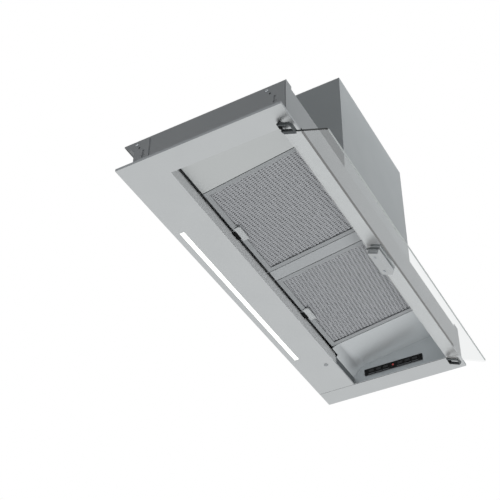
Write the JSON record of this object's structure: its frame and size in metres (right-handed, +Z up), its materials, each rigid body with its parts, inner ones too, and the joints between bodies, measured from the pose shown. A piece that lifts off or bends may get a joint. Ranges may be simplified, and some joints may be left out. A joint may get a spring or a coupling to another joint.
{
  "type": "integrated range hood",
  "caption": "Built-in range hood with a stainless underside plate, hinged glass visor, sloping grease filters, lit strip, control bay, and a motor box with a round duct collar.",
  "frame": {"origin": "middle of the plane where the cabinet sits on the rim of the face plate", "axes": "+X to the right end with the controls, -Y to the front, +Z up into the cabinet; each joint is measured from the pose in the picture, with the visor open and the filters shut"},
  "size_m": [0.898, 0.4124, 0.4362],
  "materials": {
    "stainless_plate": "brushed",
    "painted_chassis": "satin",
    "painted_ends": "satin",
    "galvanised_bracket": "satin",
    "screw_zinc": "satin",
    "panel_steel": "brushed",
    "filter_aluminium": "satin",
    "filter_mesh_aluminium": "mesh",
    "latch_steel": "satin",
    "bay_steel": "brushed",
    "fascia_black": "gloss",
    "button_grey": "gloss",
    "housing_black": "matt",
    "board_green": "satin",
    "lens_red": "clear tinted",
    "diffuser_white": "frosted",
    "lamp_board_white": "satin",
    "driver_white": "matt",
    "sensor_grey": "satin",
    "visor_glass": "clear",
    "visor_black": "satin",
    "pin_steel": "polished",
    "clamp_steel": "satin",
    "pad_rubber": "matt",
    "motor_box_paint": "satin",
    "capacitor_white": "satin",
    "lead_black": "satin",
    "scroll_plastic": "matt",
    "wheel_plastic": "matt",
    "motor_metal": "cast",
    "collar_plastic": "matt",
    "flap_plastic": "matt"
  },
  "bodies": {
    "hood": {"face_plate": "stainless_plate", "right_end_trim": "stainless_plate", "chassis_shell": "painted_chassis", "left_end_plate": "painted_ends", "right_end_plate": "painted_ends", "fixing_brackets": "galvanised_bracket", "chassis_screws": "screw_zinc", "left_filler_panel": "panel_steel", "filter_centre_bar": "panel_steel", "front_filter_rail": "galvanised_bracket", "rear_filter_rail": "galvanised_bracket", "control_bay_liner": "bay_steel", "control_fascia": "fascia_black", "control_housing": "housing_black", "control_board": "board_green", "status_lens": "lens_red", "lamp_diffuser": "diffuser_white", "lamp_channel": "galvanised_bracket", "lamp_board": "lamp_board_white", "lamp_driver": "driver_white", "plate_sensor": "sensor_grey", "visor_pivot_lugs": "visor_black", "visor_switch": "housing_black", "motor_box": "motor_box_paint", "motor_box_screws": "screw_zinc", "terminal_box": "housing_black", "terminal_box_lid": "housing_black", "mains_grommet": "pad_rubber", "run_capacitor": "capacitor_white", "motor_lead": "lead_black", "scroll_left_half": "scroll_plastic", "scroll_right_half": "scroll_plastic", "motor_body": "motor_metal", "motor_bracket": "galvanised_bracket", "motor_rubber_mounts": "pad_rubber", "duct_collar": "collar_plastic", "flap_axle": "pin_steel"},
    "visor": {"visor_glass": "visor_glass", "visor_left_arm": "visor_black", "visor_right_arm": "visor_black", "visor_pins": "pin_steel", "visor_centre_clamp": "clamp_steel", "visor_clamp_pads": "pad_rubber", "visor_clamp_screws": "screw_zinc"},
    "left_filter": {"left_filter_frame": "filter_aluminium", "left_filter_mesh": "filter_mesh_aluminium"},
    "left_latch": {"left_filter_latch": "latch_steel"},
    "right_filter": {"right_filter_frame": "filter_aluminium", "right_filter_mesh": "filter_mesh_aluminium"},
    "right_latch": {"right_filter_latch": "latch_steel"},
    "power_button": {"button_power": "button_grey"},
    "speed_down_button": {"button_speed_down": "button_grey"},
    "speed_up_button": {"button_speed_up": "button_grey"},
    "light_button": {"button_light": "button_grey"},
    "dimmer_button": {"button_dimmer": "button_grey"},
    "timer_button": {"button_timer": "button_grey"},
    "fan": {"fan_wheel": "wheel_plastic", "motor_shaft": "pin_steel"},
    "front_damper": {"front_flap": "flap_plastic"},
    "back_damper": {"back_flap": "flap_plastic"}
  },
  "joints": [
    {"name": "visor_pivot", "type": "hinge", "parent": "hood", "child": "visor", "pos_m": [0, -0.149, -0.012], "axis": [-1, 0, 0], "range_deg": [-157, 0]},
    {"name": "left_filter_hinge", "type": "hinge", "parent": "hood", "child": "left_filter", "pos_m": [-0.161, -0.14176, 0.06065], "axis": [-1, 0, 0], "range_deg": [0, 50]},
    {"name": "left_latch_slide", "type": "slide", "parent": "left_filter", "child": "left_latch", "axis": [0, -0.9882, 0.153], "range_m": [0, 0.004], "stiffness_N_per_m": 400},
    {"name": "right_filter_hinge", "type": "hinge", "parent": "hood", "child": "right_filter", "pos_m": [0.139, -0.14176, 0.06065], "axis": [-1, 0, 0], "range_deg": [0, 50]},
    {"name": "right_latch_slide", "type": "slide", "parent": "right_filter", "child": "right_latch", "axis": [0, -0.9882, 0.153], "range_m": [0, 0.004], "stiffness_N_per_m": 400},
    {"name": "power_press", "type": "slide", "parent": "hood", "child": "power_button", "axis": [1, 0, 0], "range_m": [0, 0.0012], "stiffness_N_per_m": 800},
    {"name": "speed_down_press", "type": "slide", "parent": "hood", "child": "speed_down_button", "axis": [1, 0, 0], "range_m": [0, 0.0012], "stiffness_N_per_m": 800},
    {"name": "speed_up_press", "type": "slide", "parent": "hood", "child": "speed_up_button", "axis": [1, 0, 0], "range_m": [0, 0.0012], "stiffness_N_per_m": 800},
    {"name": "light_press", "type": "slide", "parent": "hood", "child": "light_button", "axis": [1, 0, 0], "range_m": [0, 0.0012], "stiffness_N_per_m": 800},
    {"name": "dimmer_press", "type": "slide", "parent": "hood", "child": "dimmer_button", "axis": [1, 0, 0], "range_m": [0, 0.0012], "stiffness_N_per_m": 800},
    {"name": "timer_press", "type": "slide", "parent": "hood", "child": "timer_button", "axis": [1, 0, 0], "range_m": [0, 0.0012], "stiffness_N_per_m": 800},
    {"name": "fan_spin", "type": "hinge", "parent": "hood", "child": "fan", "pos_m": [-0.02, -0.04, 0.19], "axis": [1, 0, 0], "continuous": true},
    {"name": "front_flap_hinge", "type": "hinge", "parent": "hood", "child": "front_damper", "pos_m": [-0.02, -0.094, 0.36], "axis": [-1, 0, 0], "range_deg": [0, 75]},
    {"name": "back_flap_hinge", "type": "hinge", "parent": "hood", "child": "back_damper", "pos_m": [-0.02, -0.094, 0.36], "axis": [1, 0, 0], "range_deg": [0, 75]}
  ],
  "couplings": [
    {"joint": "back_flap_hinge", "follows": "front_flap_hinge", "ratio": 1}
  ]
}
